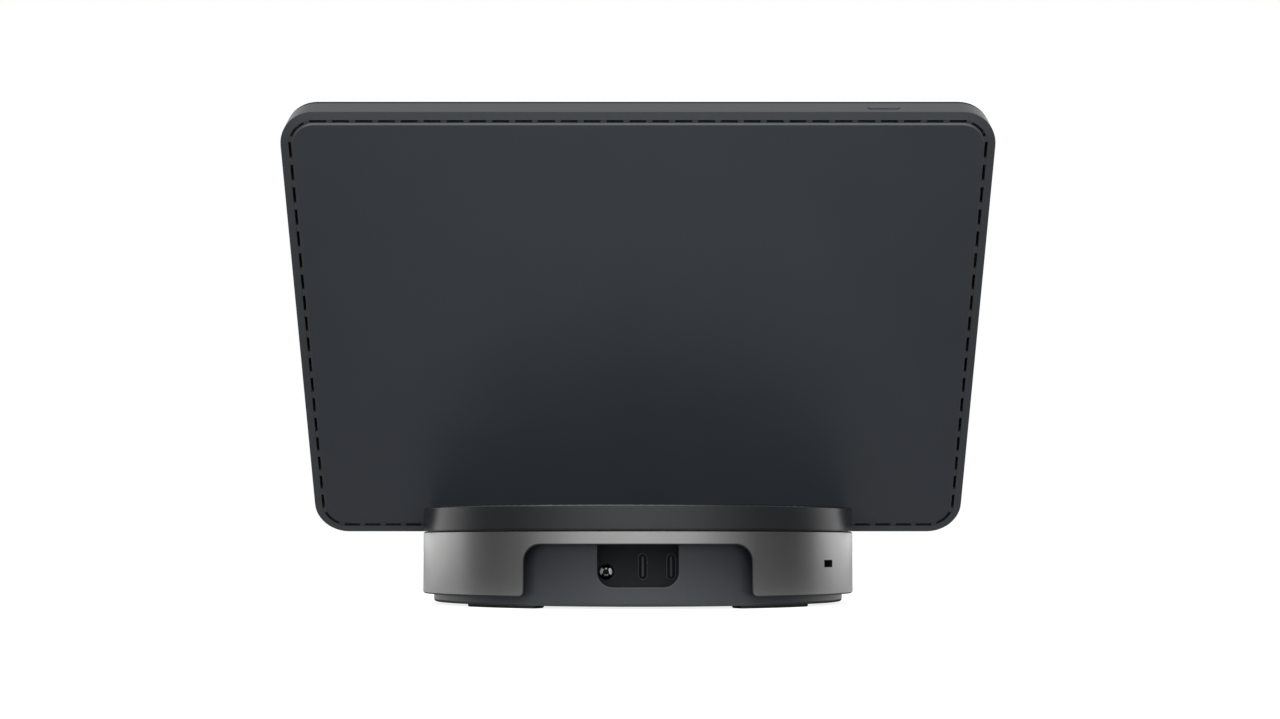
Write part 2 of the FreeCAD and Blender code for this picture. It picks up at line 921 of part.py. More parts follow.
def cutout_edges(body):
    """The cut-out's edges in the ring's outer face."""
    edges = []
    for e in body.Edges:
        m = e.valueAt((e.FirstParameter + e.LastParameter) / 2)
        outside = abs(math.hypot(m.x, m.y) - base_radius) < 1e-4
        beside = abs(m.x) <= cutout_half_width + 1e-4 and m.y > 0
        if outside and beside and m.z < cutout_top + 1e-4:
            edges.append(e)
    return edges


def cutout_cutter():
    """The rear cut-out: rounded where it meets the band above, and eased at its two feet."""
    half, top, r = cutout_half_width, cutout_top, cutout_top_radius
    reach = base_radius + 1
    low = ring_bottom
    body = box(-half, half, 0, reach, low, top - r)
    body = body.fuse(box(r - half, half - r, 0, reach, low, top))
    for side in (-1, 1):
        body = body.fuse(pin_y(r, side * (half - r), top - r, 0, reach))
        ease = cutout_bottom_radius
        x0, x1 = sorted((side * half, side * (half + ease)))
        flare = box(x0, x1, 0, reach, low, low + ease)
        body = body.fuse(flare.cut(pin_y(ease, side * (half + ease), low + ease, 0, reach)))
    return body


def at_lock_angle(shape):
    """A shape drawn on the +Y side, turned to the lock slot's place."""
    shape = shape.copy()
    shape.rotate(Vector(0, 0, 0), Vector(0, 0, 1), lock_angle)
    return shape


def lock_slot_cutter(length, breadth):
    inner = core_radius - core_wall - lock_plate_thickness - 2
    return at_lock_angle(
        box(
            -length / 2, length / 2, inner, base_radius + cut_overrun,
            lock_height - breadth / 2, lock_height + breadth / 2,
        )
    )


def lock_plate_outer():
    """Radius of the lock plate's flat outer face, clear of the ring's bore at its corners."""
    inner = base_radius - ring_wall - fit_clearance
    return math.sqrt(inner**2 - (lock_plate_width / 2) ** 2) - 0.05


def lock_plate():
    outer = lock_plate_outer()
    body = box(
        -lock_plate_width / 2, lock_plate_width / 2, outer - lock_plate_thickness, outer,
        lock_height - lock_plate_height / 2, lock_height + lock_plate_height / 2,
    )
    return at_lock_angle(body).cut(lock_slot_cutter(lock_slot_length, lock_slot_breadth))


def lock_plate_pocket():
    outer = lock_plate_outer()
    ease = screw_hole_clearance
    return at_lock_angle(
        box(
            -lock_plate_width / 2 - ease, lock_plate_width / 2 + ease,
            outer - lock_plate_thickness, core_radius + cut_overrun,
            lock_height - lock_plate_height / 2 - ease, lock_height + lock_plate_height / 2 + ease,
        )
    )


def deck_plate():
    body = disc(base_radius - ring_wall - fit_clearance, deck_bottom, deck_top)
    for x, y in bearing_screw_places():
        body = body.fuse(disc(bearing_boss_radius, bearing_plate_top, deck_bottom, x, y))
    for x, y in case_screw_places():
        body = body.fuse(disc(case_boss_radius, core_floor_top, deck_bottom, x, y))
    for x, y in bearing_screw_places():
        body = body.cut(disc(case_screw[0], bearing_plate_top, deck_bottom, x, y))
    for x, y in case_screw_places():
        body = body.cut(disc(case_screw[0], core_floor_top, core_floor_top + case_screw_grip, x, y))
    body = body.cut(disc(bush_outer_radius + bush_fit, deck_bottom, deck_top))
    return body.cut(disc(bush_flange_radius + bush_fit, bush_flange_bottom, deck_top))


def bay_space(y0, y1, top):
    """The port bay: square above, with its two bottom corners rounded."""
    half, low, r = bay_half_width, bay_bottom, bay_corner_radius
    body = box(-half, half, y0, y1, low + r, top)
    body = body.fuse(box(r - half, half - r, y0, y1, low, low + r))
    for side in (-1, 1):
        body = body.fuse(pin_y(r, side * (half - r), low + r, y0, y1))
    return body


def clamp_boss():
    return pin_y(
        clamp_boss_radius, clamp_screw_x, clamp_screw_height,
        bay_back - bay_wall - clamp_insert_length, bay_back - bay_wall,
    )


def on_bay_mouth(edge):
    """Whether an edge is where the bay's sides and floor meet the core's outer wall."""
    bounds = edge.BoundBox
    beside = max(abs(bounds.XMin), abs(bounds.XMax)) < bay_half_width + 1e-3
    within = bounds.ZMin > bay_bottom - 1e-3 and bounds.ZMax < core_top + 1e-3
    return beside and within and all(
        abs(math.hypot(v.X, v.Y) - core_radius) < 1e-3 for v in edge.Vertexes
    )


def base_core():
    body = disc(core_radius, core_floor_bottom, core_top)
    under = [e for e in body.Edges if e.Closed and e.BoundBox.ZMax < core_floor_bottom + 1e-6]
    body = body.makeFillet(core_edge_ease, under)
    body = body.cut(disc(core_radius - core_wall, core_floor_top, core_top))
    outside = bay_half_width + bay_wall
    block = box(
        -outside, outside, bay_back - bay_wall, core_radius, core_floor_bottom, deck_bottom - stack_gap
    )
    tall = disc(ring_flange_inner_radius - fit_clearance, core_floor_bottom, deck_bottom)
    low = disc(core_radius, core_floor_bottom + core_edge_ease, core_top)
    body = body.fuse(block.common(tall.fuse(low)))
    body = body.cut(bay_space(bay_back, base_radius + cut_overrun, deck_top))
    mouth = [e for e in body.Edges if on_bay_mouth(e)]
    body = body.makeFillet(bay_mouth_ease, mouth)
    body = body.fuse(clamp_boss())
    body = body.cut(
        pin_y(clamp_recess_radius, clamp_screw_x, clamp_screw_height,
              bay_back - clamp_recess_depth, bay_back)
    )
    body = body.cut(
        pin_y(clamp_screw_radius + screw_hole_clearance, clamp_screw_x, clamp_screw_height,
              bay_back - bay_wall - clamp_insert_length, bay_back)
    )
    body = body.cut(
        pin_y(clamp_insert_radius, clamp_screw_x, clamp_screw_height,
              bay_back - bay_wall - clamp_insert_length, bay_back - bay_wall)
    )
    for x in port_places:
        body = body.cut(port_body(x, port_window_clearance, bay_back - bay_wall, bay_back))
    body = body.cut(lock_plate_pocket())
    body = body.cut(
        lock_slot_cutter(
            lock_slot_length + 2 * lock_plate_backing, lock_slot_breadth + 2 * lock_plate_backing
        )
    )
    shank, head, head_height = case_screw
    for x, y in case_screw_places():
        body = body.cut(
            disc(shank + screw_hole_clearance, core_floor_bottom, core_floor_top, x, y)
        )
        body = body.cut(
            disc(head + screw_hole_clearance, core_floor_bottom, core_floor_bottom + head_height,
                 x, y)
        )
    for foot in foot_solids():
        body = body.cut(foot)
    return body


def port_body(x, ease, y0, y1):
    """A socket's outside: a stadium standing on end, filled from y0 to y1."""
    r = port_shell_breadth / 2 + ease
    reach = port_shell_length / 2 - port_shell_breadth / 2
    body = box(x - r, x + r, y0, y1, port_height - reach, port_height + reach)
    for side in (-1, 1):
        body = body.fuse(pin_y(r, x, port_height + side * reach, y0, y1))
    return body


def usb_port(x):
    """A steel shell round a plastic tongue, mouth towards +Y."""
    shell = port_body(x, 0, port_board_back, port_mouth)
    floor = port_board_back + port_shell_floor
    shell = shell.cut(port_body(x, -port_shell_wall, floor, port_mouth))
    tongue = box(
        x - port_tongue_breadth / 2, x + port_tongue_breadth / 2,
        floor, port_mouth - port_tongue_set_in,
        port_height - port_tongue_length / 2, port_height + port_tongue_length / 2,
    )
    return compound([shell, tongue])


def port_board():
    half = port_board_width / 2
    body = box(
        -half, half, port_board_front, port_board_back, port_board_bottom, port_board_top
    )
    gap = clamp_boss_radius + loose_fit
    return body.cut(
        pin_y(gap, clamp_screw_x, clamp_screw_height, 0, bay_back)
    )


def clamp_screw():
    """The cross-head screw beside the ports."""
    seat = bay_back - clamp_recess_depth
    head = pin_y(
        clamp_screw_head_radius, clamp_screw_x, clamp_screw_height,
        seat, seat + clamp_screw_head_height,
    )
    rim = [e for e in head.Edges if e.Closed and abs(e.BoundBox.YMin - head.BoundBox.YMax) < 1e-6]
    head = head.makeFillet(clamp_screw_head_height * 0.5, rim)
    shank = pin_y(
        clamp_screw_radius, clamp_screw_x, clamp_screw_height, seat - clamp_screw_length, seat
    )
    body = head.fuse(shank)
    top = seat + clamp_screw_head_height
    for turn in (45, 135):
        bar = box(
            -cross_slot_length / 2, cross_slot_length / 2, top - cross_slot_depth, top,
            -cross_slot_breadth / 2, cross_slot_breadth / 2,
        )
        bar.rotate(Vector(0, 0, 0), Vector(0, 1, 0), turn)
        bar.translate(Vector(clamp_screw_x, 0, clamp_screw_height))
        body = body.cut(bar)
    return body


def clamp_insert():
    end = bay_back - bay_wall
    outer = pin_y(
        clamp_insert_radius, clamp_screw_x, clamp_screw_height, end - clamp_insert_length, end
    )
    return outer.cut(
        pin_y(clamp_screw_radius, clamp_screw_x, clamp_screw_height, end - clamp_insert_length, end)
    )


def foot_solids():
    """Four curved rubber pads, two behind and two in front."""
    span = foot_to_angle - foot_from_angle
    pads = []
    for start in (90 + foot_from_angle, 90 - foot_to_angle, 270 + foot_from_angle, 270 - foot_to_angle):
        height = core_floor_bottom + foot_recess
        axis, origin = Vector(0, 0, 1), Vector(0, 0, 0)
        outer = Part.makeCylinder(foot_outer_radius, height, origin, axis, span)
        inner = Part.makeCylinder(foot_outer_radius - foot_width, height, origin, axis, span)
        pad = outer.cut(inner)
        tread = [e for e in pad.Edges if e.BoundBox.ZMax < 1e-6]
        pad = pad.makeChamfer(foot_edge_ease, tread)
        pad.rotate(origin, axis, start)
        pads.append(pad)
    return pads


def ballast_plate():
    low = core_floor_top + ballast_gap
    body = disc(ballast_radius, low, low + ballast_thickness)
    body = body.cut(
        box(-base_radius, base_radius, ballast_rear_edge, base_radius, low, deck_height)
    )
    body = body.cut(disc(ballast_hole_radius, low, deck_height))
    for x, y in case_screw_places():
        body = body.cut(disc(case_boss_radius + loose_fit, low, deck_height, x, y))
    return body


def case_screws():
    head_height = case_screw[2]
    grip = core_floor_thickness - head_height + case_screw_grip
    return compound(
        [
            screw(case_screw, grip, (x, y, core_floor_bottom + head_height), (0, 0, 1))
            for x, y in case_screw_places()
        ]
    )


# ---------------------------------------------------------------- cables
def lower_cable():
    """From the port board to the swivel axis, and up inside the post."""
    level = lower_cable_level()
    back = port_board_front
    plug = box(
        -cable_plug_size / 2, cable_plug_size / 2, back - cable_plug_size, back,
        level - cable_plug_size / 2, level + cable_plug_size / 2,
    )
    run = tube_along(
        [(0, back - cable_plug_size, level), (0, 0, level), (0, 0, cable_split_height)],
        cable_radius,
        cable_bend_radius,
    )
    return compound([plug, run])


def lower_cable_level():
    """Height of the cable's run below the nut."""
    return nut_bottom - post_tail - cable_plug_size / 2 - 0.5


def upper_cable():
    """Up out of the post, through the bracket's slot, and up behind the screen to the main board."""
    run_level = bracket_leg_top - cable_radius - stack_gap
    depth = (bracket_inner + mid_frame_back) / 2
    corner_height = (run_level - display_place.Base.z + depth * math.sin(lean)) / math.cos(lean)
    corner = display_place.multVec(Vector(0, depth, corner_height))
    end = display_place.multVec(Vector(0, depth, board_bottom - cable_plug_size))
    start = cable_split_height + cable_split_gap
    run = tube_along(
        [(0, 0, start), (0, 0, run_level), (0, corner.y, run_level), tuple(end)],
        cable_radius,
        cable_bend_radius,
    )
    plug = leaned(
        box(
            -cable_plug_size / 2, cable_plug_size / 2, mid_frame_back + 0.2, bracket_face,
            board_bottom - cable_plug_size, board_bottom - stack_gap,
        )
    )
    return compound([run, plug])


# ---------------------------------------------------------------- write every node
def build():
    nodes = {
        "rear_shell": rear_shell(),
        "back_cover": back_cover(),
        "front_bezel": front_bezel(),
        "touch_glass": touch_glass(),
        "glass_tape": glass_tape(),
        "lcd_panel": lcd_panel(),
        "backlight": backlight(),
        "mid_frame": mid_frame(),
        "main_board": main_board(),
        "processor_shield": processor_shield(),
        "heat_spreader": heat_spreader(),
        "board_screws": board_screws(),
        "speaker_left": speaker(-1),
        "speaker_right": speaker(1),
        "antenna_left": antenna(-1),
        "antenna_right": antenna(1),
        "microphone_board": microphone_board(),
        "top_button": top_button(),
        "button_switch": button_switch(),
        "button_board": button_board(),
        "display_bracket": display_bracket(),
        "bracket_screws": bracket_screws(),
        "post_screws": post_screws(),
        "neck_cover": neck_cover(),
        "neck_floor": neck_floor(),
        "swivel_post": swivel_post(),
        "retaining_nut": retaining_nut(),
        "wave_washer": wave_washer(),
        "upper_cable": upper_cable(),
        "friction_washer": friction_washer(),
        "swivel_bush": swivel_bush(),
        "bearing_plate": bearing_plate(),
        "bearing_screws": bearing_screws(),
        "base_ring": base_ring(),
        "deck_plate": deck_plate(),
        "base_core": base_core(),
        "lock_plate": lock_plate(),
        "port_board": port_board(),
        "clamp_screw": clamp_screw(),
        "clamp_insert": clamp_insert(),
        "ballast_plate": ballast_plate(),
        "case_screws": case_screws(),
        "lower_cable": lower_cable(),
    }
    for name, x in zip(("usb_port_centre", "usb_port_side"), port_places):
        nodes[name] = usb_port(x)
    for name, pad in zip(
        ("foot_rear_right", "foot_rear_left", "foot_front_left", "foot_front_right"), foot_solids()
    ):
        nodes[name] = pad
    return nodes


def main():
    os.makedirs("parts", exist_ok=True)
    for name, shape in build().items():
        if not shape.Solids or not all(s.isValid() for s in shape.Solids):
            print("check", name, "solids", len(shape.Solids), "valid", shape.isValid())
        shape.exportStep(os.path.join("parts", name + ".step"))
        print(f"{name:18s} {len(shape.Solids):3d} solids  {shape.Volume / 1000:9.3f} cm3")


main()
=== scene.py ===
"""Smart home hub: a tilted touch display that turns on a low round base.

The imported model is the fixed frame. Pieces are finished or added here in the order in which the hub is
put together, from the base up to the display. Units are metres, in the row's own frame.
"""

import math

import bmesh
import bpy
from mathutils import Matrix, Vector


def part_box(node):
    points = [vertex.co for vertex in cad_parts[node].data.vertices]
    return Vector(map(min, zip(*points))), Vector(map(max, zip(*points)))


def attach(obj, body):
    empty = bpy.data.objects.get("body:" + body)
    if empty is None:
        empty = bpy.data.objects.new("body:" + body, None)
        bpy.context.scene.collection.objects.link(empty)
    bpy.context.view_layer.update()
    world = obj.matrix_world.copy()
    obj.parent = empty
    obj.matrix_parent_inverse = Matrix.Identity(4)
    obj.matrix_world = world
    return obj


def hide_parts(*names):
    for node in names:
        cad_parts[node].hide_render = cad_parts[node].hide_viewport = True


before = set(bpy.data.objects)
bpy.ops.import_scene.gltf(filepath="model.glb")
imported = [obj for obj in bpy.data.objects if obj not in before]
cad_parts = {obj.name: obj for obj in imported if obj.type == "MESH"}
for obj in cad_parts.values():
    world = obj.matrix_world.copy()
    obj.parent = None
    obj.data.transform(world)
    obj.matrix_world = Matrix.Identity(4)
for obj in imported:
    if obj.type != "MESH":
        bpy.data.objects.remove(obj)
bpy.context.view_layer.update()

MM = 0.001


# ---------------------------------------------------------------- camera
# A short telephoto close above the table, square to the ports and tilted up a little towards the
# display. The frame is shifted slightly to set the hub in it.
camera_data = bpy.data.cameras.new("camera")
camera_data.sensor_width = 36.0
camera_data.lens = 50.964
camera_data.shift_x = 0.0016
camera_data.shift_y = 0.03125
camera_data.clip_start = 0.01
camera = bpy.data.objects.new("camera", camera_data)
camera.location = (0.0, 674.44 * MM, 20.981 * MM)
camera.rotation_euler = (math.pi / 2 + math.radians(4.6131), 0.0, math.pi)
bpy.context.scene.collection.objects.link(camera)
bpy.context.scene.camera = camera


# ---------------------------------------------------------------- room and lights
# A white room with a soft box behind the viewer, bright screens beside a dim wall behind the hub, black
# flags at the sides and a pale ceiling that ends above the hub. A wide soft box hangs above the
# viewer's side, and a large weak one fills in.
bpy.context.scene.view_settings.view_transform = "Standard"

front_box = 1.25
flag = 0.12
screens = 1.60
ceiling = 0.75
wall = 0.40
# (turn from the viewer's side as a share of half a turn, brightness there)
towards_x = ((0.00, front_box), (0.13, 1.00), (0.26, 0.52), (0.38, 0.18), (0.46, flag), (0.53, 0.30),
             (0.61, 1.25), (0.70, screens), (0.81, screens), (0.92, 0.75), (1.00, wall))
away_from_x = ((0.13, 0.98), (0.26, 0.42), (0.37, 0.12), (0.49, flag * 0.6), (0.56, 0.28), (0.64, 1.25),
               (0.72, screens), (0.82, screens), (0.92, 0.75))

room = bpy.data.worlds.new("room")
bpy.context.scene.world = room
room.use_nodes = True
room_tree = room.node_tree


def room_node(kind, settings, values):
    made = room_tree.nodes.new(kind)
    for name, value in settings.items():
        setattr(made, name, value)
    for name, value in values.items():
        if isinstance(value, bpy.types.NodeSocket):
            room_tree.links.new(value, made.inputs[name])
        else:
            made.inputs[name].default_value = value
    return made


heading = room_node("ShaderNodeTexCoord", {}, {}).outputs["Generated"]
room_axes = room_node("ShaderNodeSeparateXYZ", {}, {"Vector": heading}).outputs
turn = room_node("ShaderNodeMath", {"operation": "ARCTAN2"}, {0: room_axes["X"], 1: room_axes["Y"]})
share = room_node(
    "ShaderNodeMapRange", {}, {"Value": turn.outputs[0], "From Min": -math.pi, "From Max": math.pi}
)
circle = room_node("ShaderNodeValToRGB", {}, {"Fac": share.outputs[0]})
stops = [(0.5 + at / 2, level) for at, level in towards_x]
stops += [(0.5 - at / 2, level) for at, level in away_from_x]
stops.append((0.0, wall))
for element, (at, level) in zip(circle.color_ramp.elements, stops):
    element.position, element.color = at, (level, level, level, 1)
for at, level in stops[len(circle.color_ramp.elements):]:
    circle.color_ramp.elements.new(at).color = (level, level, level, 1)
circle.color_ramp.interpolation = "EASE"
rise = room_node(
    "ShaderNodeMapRange", {"interpolation_type": "SMOOTHSTEP"},
    {"Value": room_axes["Z"], "From Min": 0.30, "From Max": 0.80},
)
over = room_node(
    "ShaderNodeMapRange", {"interpolation_type": "SMOOTHSTEP"},
    {"Value": room_axes["Y"], "From Min": -0.90, "From Max": -0.62, "To Min": 0.06, "To Max": ceiling},
)
dome = room_node("ShaderNodeMix", {"data_type": "RGBA"},
                 {0: rise.outputs[0], 6: circle.outputs[0], 7: over.outputs[0]})
lit = room_node("ShaderNodeBackground", {}, {"Color": dome.outputs[2]})
seen = room_node("ShaderNodeBackground", {}, {"Color": (1, 1, 1, 1)})
ray = room_node("ShaderNodeLightPath", {}, {}).outputs["Is Camera Ray"]
either = room_node("ShaderNodeMixShader", {}, {0: ray, 1: lit.outputs[0], 2: seen.outputs[0]})
room_tree.links.new(either.outputs[0], room_tree.nodes["World Output"].inputs["Surface"])


def soft_box(name, place, size, energy, glossy):
    """A rectangular light that faces the hub."""
    data = bpy.data.lights.new(name, "AREA")
    data.shape = "RECTANGLE"
    data.size, data.size_y = size
    data.energy = energy
    made = bpy.data.objects.new(name, data)
    made.location = place
    made.rotation_euler = (Vector((0, 0, 60 * MM)) - Vector(place)).to_track_quat("-Z", "Y").to_euler()
    made.visible_glossy = glossy
    bpy.context.scene.collection.objects.link(made)


soft_box("fill", (0.0, 1.7, 0.25), (1.6, 0.7), 17.0, False)
soft_box("overhead_box", (0.0, 1.0, 1.05), (2.2, 1.3), 19.0, True)

table_radius = 6.0
table_mesh = bmesh.new()
bmesh.ops.create_circle(table_mesh, cap_ends=True, segments=96, radius=table_radius)
table_data = bpy.data.meshes.new("table")
table_mesh.to_mesh(table_data)
table_mesh.free()
table = bpy.data.objects.new("table", table_data)
bpy.context.scene.collection.objects.link(table)


# ---------------------------------------------------------------- shader arithmetic and the table's paint
# The table is a matt white board, with painted shade at the sides where the flags stand and a painted pool
# of light round the hub. It looks brighter than it shines on the hub, as in a high-key studio.
class Wire:
    """A shader socket that takes part in arithmetic. A number goes straight into the Math node."""

    def __init__(self, finish, socket):
        self.finish, self.socket = finish, socket

    def math(self, operation, *values):
        return self.finish.node("ShaderNodeMath", {"operation": operation}, dict(enumerate(values)))

    def __add__(self, other):
        return self.math("ADD", self, other)

    def __mul__(self, other):
        return self.math("MULTIPLY", self, other)

    def __sub__(self, other):
        return self.math("SUBTRACT", self, other)

    def __rsub__(self, other):
        return self.math("SUBTRACT", other, self)

    def __truediv__(self, other):
        return self.math("DIVIDE", self, other)

    def __abs__(self):
        return self.math("ABSOLUTE", self)

    __radd__ = __add__
    __rmul__ = __mul__

    def root(self):
        return self.math("SQRT", self)

    def wave(self):
        return self.math("SINE", self)

    def or_more(self, other):
        return self.math("MAXIMUM", self, other)

    def step(self, low, high):
        """0 before low, 1 past high, and smooth between. High may be below low."""
        return self.finish.node(
            "ShaderNodeMapRange", {"interpolation_type": "SMOOTHSTEP"},
            {"Value": self, "From Min": low, "From Max": high},
        )


class Finish:
    """A procedural material on a Principled shader. Plain values are set on the shader's sockets."""

    def __init__(self, name, **plain):
        self.material = bpy.data.materials.new(name)
        self.material.use_nodes = True
        self.tree = self.material.node_tree
        self.shader = self.tree.nodes["Principled BSDF"]
        for socket, value in plain.items():
            self.shader.inputs[socket.replace("_", " ")].default_value = value
        self.place = self.node("ShaderNodeTexCoord", {}, {}, "Object")
        self.x, self.y, self.z = self.axes(self.place)

    def node(self, kind, settings, values, output=0):
        made = self.tree.nodes.new(kind)
        for name, value in settings.items():
            setattr(made, name, value)
        for name, value in values.items():
            if isinstance(value, Wire):
                self.tree.links.new(value.socket, made.inputs[name])
            else:
                made.inputs[name].default_value = value
        return Wire(self, made.outputs[output])

    def axes(self, vector):
        first = self.node("ShaderNodeSeparateXYZ", {}, {"Vector": vector})
        return [Wire(self, socket) for socket in first.socket.node.outputs]

    def stretched(self, size, stretch):
        """Object coordinates in units of size metres, longer along each axis by its stretch."""
        scale = tuple(1 / (size * s) for s in stretch)
        return self.node("ShaderNodeVectorMath", {"operation": "MULTIPLY"}, {0: self.place, 1: scale})

    def noise(self, size, detail=2.0, rough=0.5, stretch=(1, 1, 1)):
        values = {"Vector": self.stretched(size, stretch), "Scale": 1.0, "Detail": detail, "Roughness": rough}
        return self.node("ShaderNodeTexNoise", {}, values)

    def cells(self, size, feature="F1", stretch=(1, 1, 1), random=1.0):
        values = {"Vector": self.stretched(size, stretch), "Scale": 1.0, "Randomness": random}
        return self.node("ShaderNodeTexVoronoi", {"feature": feature}, values)

    def along(self, direction):
        """How far each point lies along a direction, in metres."""
        values = {0: self.place, 1: tuple(direction)}
        return self.node("ShaderNodeVectorMath", {"operation": "DOT_PRODUCT"}, values, "Value")

    def facing(self, direction):
        """The cosine between the surface and a direction."""
        normal = self.node("ShaderNodeTexCoord", {}, {}, "Normal")
        values = {0: normal, 1: tuple(direction)}
        return self.node("ShaderNodeVectorMath", {"operation": "DOT_PRODUCT"}, values, "Value")

    def between(self, amount, first, second):
        """A colour between two colours, each a colour or a wire."""
        values = {0: amount}
        for slot, colour in ((6, first), (7, second)):
            values[slot] = colour if isinstance(colour, Wire) else (*colour, 1.0)
        return self.node("ShaderNodeMix", {"data_type": "RGBA"}, values, 2)

    def feed(self, **sockets):
        for name, wire in sockets.items():
            self.tree.links.new(wire.socket, self.shader.inputs[name.replace("_", " ")])
        return self

    def relief(self, height, depth):
        """Bumps of the given depth in metres."""
        return self.feed(Normal=self.node("ShaderNodeBump", {}, {"Height": height, "Distance": depth}))


board = Finish("table_board", Roughness=0.9, Specular_IOR_Level=0.0)
board_turn = abs(board.x.math("ARCTAN2", board.x, board.y))
board_speck = board.noise(4 * MM)
# Painted shade: darker at the sides where the flags stand. Painted light: a brighter pool round the hub.
board_painted_pool = (board.x * board.x + board.y * board.y).root().step(210 * MM, 90 * MM)
board_painted_light = board_turn.step(1.0, 0.45) + board_turn.step(1.75, 2.3)
board_painted_light = board_painted_light.or_more(board_painted_pool * 0.6)
board_pool_white = board.between(board_painted_pool, (0.42, 0.42, 0.42), (0.80, 0.80, 0.80))
board.feed(Base_Color=board.between(board_painted_light * 0.95 + board_speck * 0.05, (0.12, 0.12, 0.12), board_pool_white))
board_seen = board.node("ShaderNodeEmission", {}, {"Color": (1, 1, 1, 1), "Strength": 0.84})
board_shade = board.node("ShaderNodeBsdfDiffuse", {}, {"Color": (0.42, 0.42, 0.42, 1)})
board_high_key = board.node("ShaderNodeAddShader", {}, {0: board_seen, 1: board_shade})
board_ray = board.node("ShaderNodeLightPath", {}, {}, "Is Camera Ray")
board_either = board.node(
    "ShaderNodeMixShader", {},
    {0: board_ray, 1: Wire(board, board.shader.outputs[0]), 2: board_high_key},
)
board.tree.links.new(board_either.socket, board.tree.nodes["Material Output"].inputs["Surface"])
table_data.materials.append(board.material)


# ---------------------------------------------------------------- chassis
# One moulding of graphite polycarbonate: the underside, the wall inside the ring, and the port bay. The
# tool was spark-eroded and the bottom edge has picked up scuffs. Shade is painted into the bay, and onto
# the wall under the ring's overhang, where it grows darker towards the top.
def paint(finish, *nodes):
    """Gives CAD pieces their finish."""
    for name in nodes:
        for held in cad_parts[name].material_slots:
            held.material = finish.material


def moulded(name, dark, light, roughness, grain_size=0.22 * MM, depth=0.006 * MM, **plain):
    """Satin moulded plastic with a spark-eroded grain and slow changes of tone."""
    finish = Finish(name, **plain)
    grain = finish.noise(grain_size, 3.0, 0.65)
    cloud = finish.noise(28 * MM, 3.0)
    finish.tone = finish.between(cloud * 0.6 + grain * 0.4, dark, light)
    finish.gloss = grain * 0.10 + cloud * 0.06 + (roughness - 0.08)
    finish.feed(Base_Color=finish.tone, Roughness=finish.gloss)
    return finish.relief(grain, depth)


chassis = moulded("chassis_plastic", (0.017, 0.020, 0.022), (0.024, 0.027, 0.030), 0.32)
chassis_scuff = chassis.noise(1.2 * MM, 4.0, 0.7, (5, 5, 0.6)).step(0.60, 0.72)
low_edge = chassis.z.step(2.2 * MM, 1.0 * MM)
# Painted shade: the port bay is painted near black.
bay_painted_shade = abs(chassis.x).step(13.6 * MM, 13.3 * MM) * chassis.y.step(60 * MM, 62 * MM)
bay_painted_shade = bay_painted_shade * (chassis.x * chassis.x + chassis.y * chassis.y).root().step(74.6 * MM, 73.9 * MM)
bay_painted_shade = bay_painted_shade * chassis.z.step(6.8 * MM, 7.2 * MM)
scuffed = chassis.between(chassis_scuff * low_edge * 0.5, chassis.tone, (0.07, 0.07, 0.07))
# Painted shade: the wall is painted darker towards the top, under the ring's overhang.
wall_painted_shade = chassis.z.step(2 * MM, 19 * MM)
walls = chassis.between(wall_painted_shade, scuffed, (0.006, 0.0075, 0.010))
chassis.feed(
    Base_Color=chassis.between(bay_painted_shade, walls, (0.0045, 0.005, 0.006)),
    Roughness=chassis.gloss + wall_painted_shade * 0.10 + bay_painted_shade * 0.45,
)
paint(chassis, "base_core")


# ---------------------------------------------------------------- ballast
# A D-shaped plate of grey cast iron glued to the chassis floor. It keeps the hub from tipping. The
# casting skin is pitted and lightly oiled, with a bloom of rust in places.
iron = Finish("ballast_cast_iron", Metallic=0.6)
skin = iron.noise(0.9 * MM, 5.0, 0.7)
pits = iron.cells(1.6 * MM).step(0.35, 0.05)
rust = iron.noise(7 * MM, 4.0, 0.65).step(0.58, 0.75)
iron.feed(
    Base_Color=iron.between(rust * 0.6, iron.between(skin, (0.05, 0.05, 0.052), (0.13, 0.13, 0.13)),
                            (0.16, 0.06, 0.025)),
    Roughness=skin * 0.25 + rust * 0.2 + 0.42,
).relief(skin - pits * 0.6, 0.15 * MM)
paint(iron, "ballast_plate")


# ---------------------------------------------------------------- lock slot plate
# Stamped stainless steel behind the slot in the ring, where a cable lock grips. Rolling lines run
# through it, and a lock has scratched the edges of its slot.
stamped = Finish("lock_steel", Metallic=1.0)
roll = stamped.noise(0.08 * MM, 2.0, 0.6, (1, 1, 20))
scratch = stamped.noise(0.3 * MM, 3.0, 0.7, (0.4, 0.4, 6)).step(0.62, 0.70)
stamped.feed(
    Base_Color=stamped.between(roll, (0.20, 0.20, 0.21), (0.36, 0.36, 0.36)),
    Roughness=roll * 0.2 + scratch * 0.15 + 0.22,
).relief(roll - scratch, 0.004 * MM)
paint(stamped, "lock_plate")


# ---------------------------------------------------------------- port board
# A small glass-fibre board stands behind the bay and carries the sockets. Its green mask shows the
# copper tracks under it, and the plated holes are ringed with gold.
def circuit(name):
    """A printed board: solder mask over tracks on a fine grid, and scattered gold pads."""
    finish = Finish(name, Specular_IOR_Level=0.6)
    track = finish.cells(1.5 * MM, "DISTANCE_TO_EDGE", (1, 1, 1), 0.35).step(0.10, 0.05)
    pad = finish.cells(2.3 * MM, "F1", (1, 1, 1), 0.8).step(0.20, 0.16)
    weave = (finish.x * (2 * math.pi / (0.5 * MM))).wave() * (finish.z * (2 * math.pi / (0.5 * MM))).wave()
    mask = finish.between(track, (0.004, 0.035, 0.016), (0.012, 0.085, 0.035))
    finish.feed(
        Base_Color=finish.between(pad, mask, (0.75, 0.52, 0.20)),
        Metallic=pad, Roughness=weave * 0.05 + track * 0.08 + 0.28,
    )
    return finish.relief(track * 0.8 + pad + weave * 0.1, 0.035 * MM)


port_circuit = circuit("port_board_laminate")
paint(port_circuit, "port_board")


